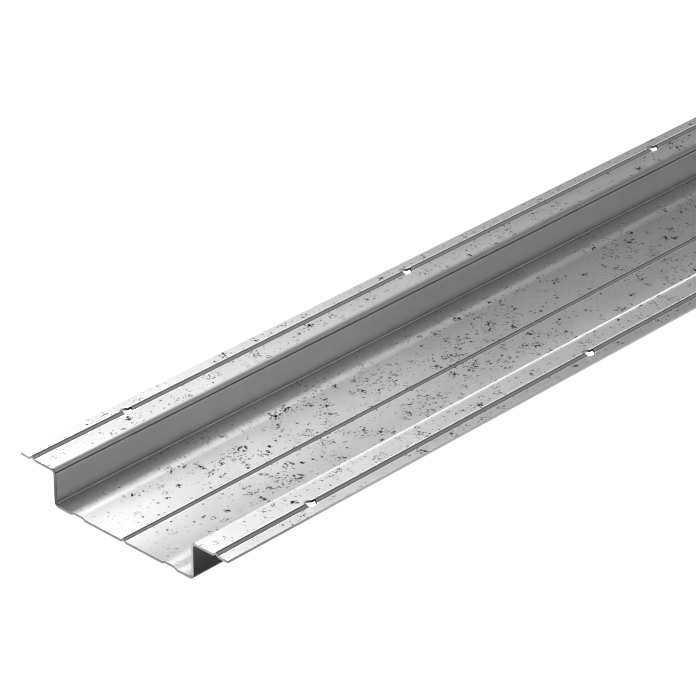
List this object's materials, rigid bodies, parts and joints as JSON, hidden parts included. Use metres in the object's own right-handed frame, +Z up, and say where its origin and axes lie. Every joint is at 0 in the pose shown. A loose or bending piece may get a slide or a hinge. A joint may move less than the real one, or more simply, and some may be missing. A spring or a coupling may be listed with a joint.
{
  "type": "hat channel",
  "caption": "Wide, low hat channel rolled from thin galvanised sheet, with stiffening ribs and beads and small round holes punched along both flanges.",
  "frame": {"origin": "middle of the length and of the width, on the underside of the web, which is what it lies on", "axes": "+X along the length, away from the end that the picture shows; +Y across, to the flange that is farther from the camera in the picture; +Z up, out of the open side of the trough"},
  "size_m": [2, 0.098, 0.0153],
  "materials": {
    "galvanised_steel": "galvanised, satin, with fine dark flecks"
  },
  "bodies": {
    "root": {"hat_channel": "galvanised_steel"}
  },
  "joints": []
}
